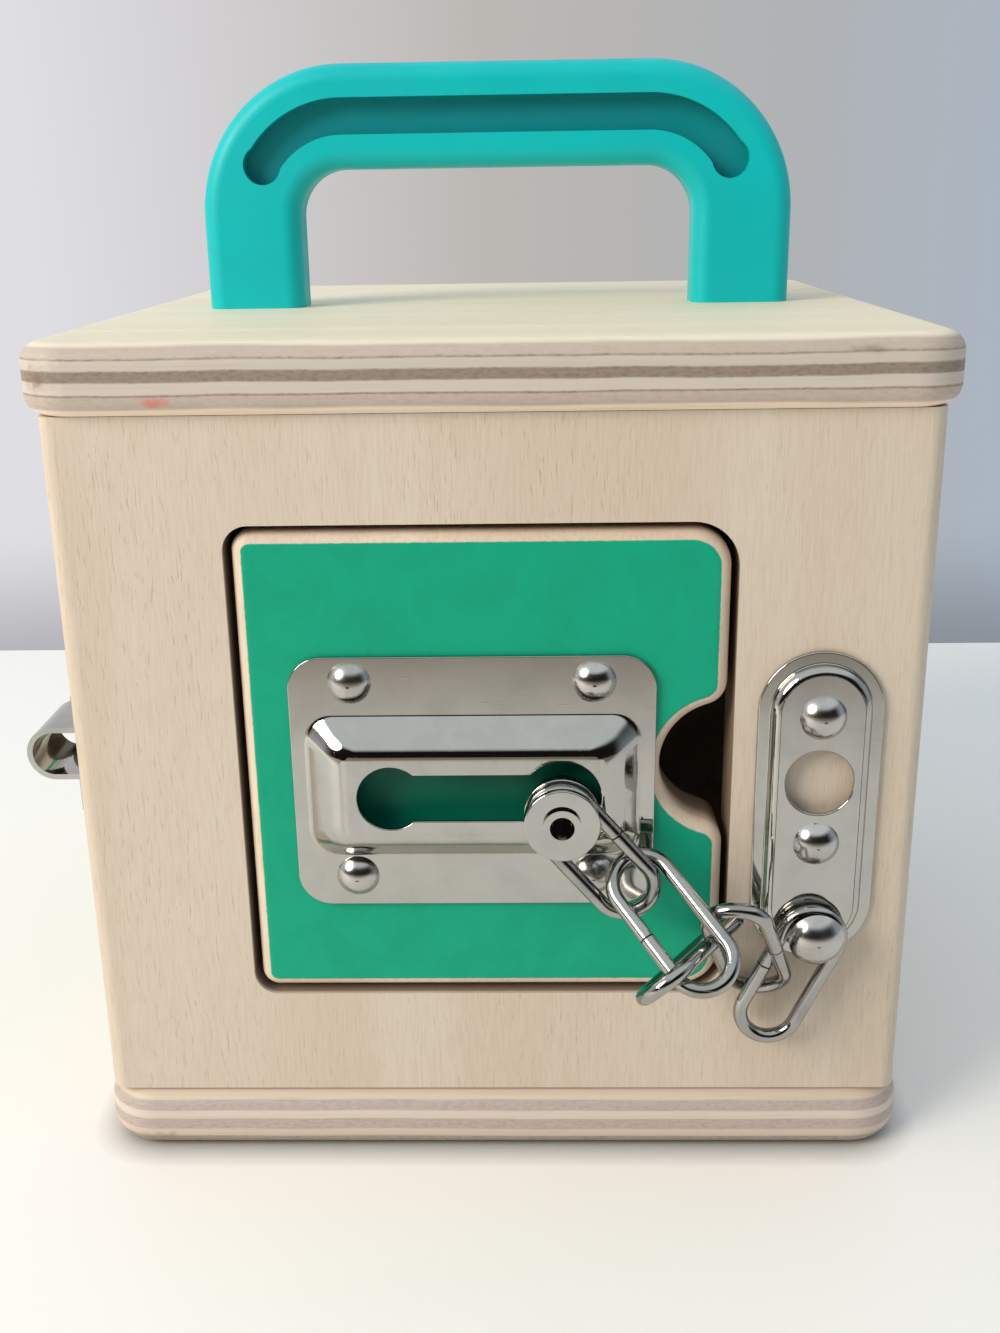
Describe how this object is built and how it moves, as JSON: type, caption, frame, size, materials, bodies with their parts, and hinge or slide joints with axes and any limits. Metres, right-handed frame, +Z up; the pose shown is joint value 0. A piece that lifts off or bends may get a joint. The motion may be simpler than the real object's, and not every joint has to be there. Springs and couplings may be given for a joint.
{
  "type": "latch lock box",
  "caption": "Small plywood box with a carrying handle, a hinged front door held by a chain in a slotted plate, and a hinged side door with a barrel bolt.",
  "frame": {"origin": "middle of the base plate's underside", "axes": "+Z up, the front door faces -Y, the side door faces -X"},
  "size_m": [0.1728, 0.184, 0.2007],
  "materials": {
    "plywood": "clear satin birch plywood",
    "plywood_top": "clear satin birch plywood, banded edges",
    "plywood_base": "clear satin birch plywood, banded edges",
    "green_paint": "satin green paint on the flat face, bare rounded rim",
    "teal_plastic": "satin moulded plastic",
    "chrome": "bright plating",
    "steel": "plain steel",
    "dowel_wood": "plain"
  },
  "bodies": {
    "box": {"base_plate": "plywood_base", "top_plate": "plywood_top", "front_panel": "plywood", "back_panel": "plywood", "left_panel": "plywood", "right_panel": "plywood", "front_door_pins": "steel", "side_door_pins": "steel", "handle": "teal_plastic", "handle_screws": "steel", "anchor_plate": "chrome", "anchor_rivets": "chrome", "chain_rivet": "chrome", "bolt_keeper": "chrome", "keeper_rivets": "chrome", "top_dowels": "dowel_wood", "base_dowels": "dowel_wood"},
    "front_door": {"front_door": "green_paint", "slot_plate": "chrome", "slot_plate_rivets": "chrome", "chain_link_1": "chrome"},
    "stud": {"chain_stud": "chrome", "stud_eyelet": "chrome"},
    "link_2": {"chain_link_2": "chrome"},
    "link_3": {"chain_link_3": "chrome"},
    "link_4": {"chain_link_4": "chrome"},
    "link_5": {"chain_link_5": "chrome"},
    "side_door": {"side_door": "green_paint", "bolt_guide": "chrome", "guide_rivets": "chrome"},
    "bolt": {"bolt_rod": "chrome", "bolt_knob": "chrome"}
  },
  "joints": [
    {"name": "front_door_hinge", "type": "hinge", "parent": "box", "child": "front_door", "pos_m": [-0.0384, -0.072, 0.0783], "axis": [0, 0, -1], "range_deg": [0, 12]},
    {"name": "stud_spin", "type": "hinge", "parent": "front_door", "child": "stud", "pos_m": [0.0115, -0.087, 0.0736], "axis": [0, 1, 0], "continuous": true},
    {"name": "side_door_hinge", "type": "hinge", "parent": "box", "child": "side_door", "pos_m": [-0.07, 0.0384, 0.0783], "axis": [0, 0, -1], "range_deg": [0, 100]},
    {"name": "bolt_slide", "type": "slide", "parent": "side_door", "child": "bolt", "axis": [0, -1, 0], "range_m": [0, 0.016]},
    {"name": "link_2_swing", "type": "hinge", "parent": "front_door", "child": "link_2", "pos_m": [0.0215, -0.0815, 0.0524], "axis": [0.1114, 0.7791, 0.6169], "range_deg": [0, 16.1]},
    {"name": "link_3_swing", "type": "hinge", "parent": "link_2", "child": "link_3", "pos_m": [0.0406, -0.0868, 0.0433], "axis": [0.4968, 0.7209, -0.4832], "range_deg": [0, 48.3]},
    {"name": "link_5_swing", "type": "hinge", "parent": "box", "child": "link_5", "pos_m": [0.0568, -0.0817, 0.0486], "axis": [0, -1, 0], "range_deg": [0, 30]},
    {"name": "link_4_swing", "type": "hinge", "parent": "link_5", "child": "link_4", "pos_m": [0.0439, -0.0827, 0.035], "axis": [0.7282, -0.1597, 0.6665], "range_deg": [0, 26.4]}
  ],
  "couplings": [
    {"joint": "link_2_swing", "follows": "front_door_hinge", "ratio": 1.33},
    {"joint": "link_3_swing", "follows": "front_door_hinge", "ratio": 4.015},
    {"joint": "link_4_swing", "follows": "front_door_hinge", "ratio": 2.19},
    {"joint": "link_5_swing", "follows": "front_door_hinge", "ratio": 2.494}
  ]
}
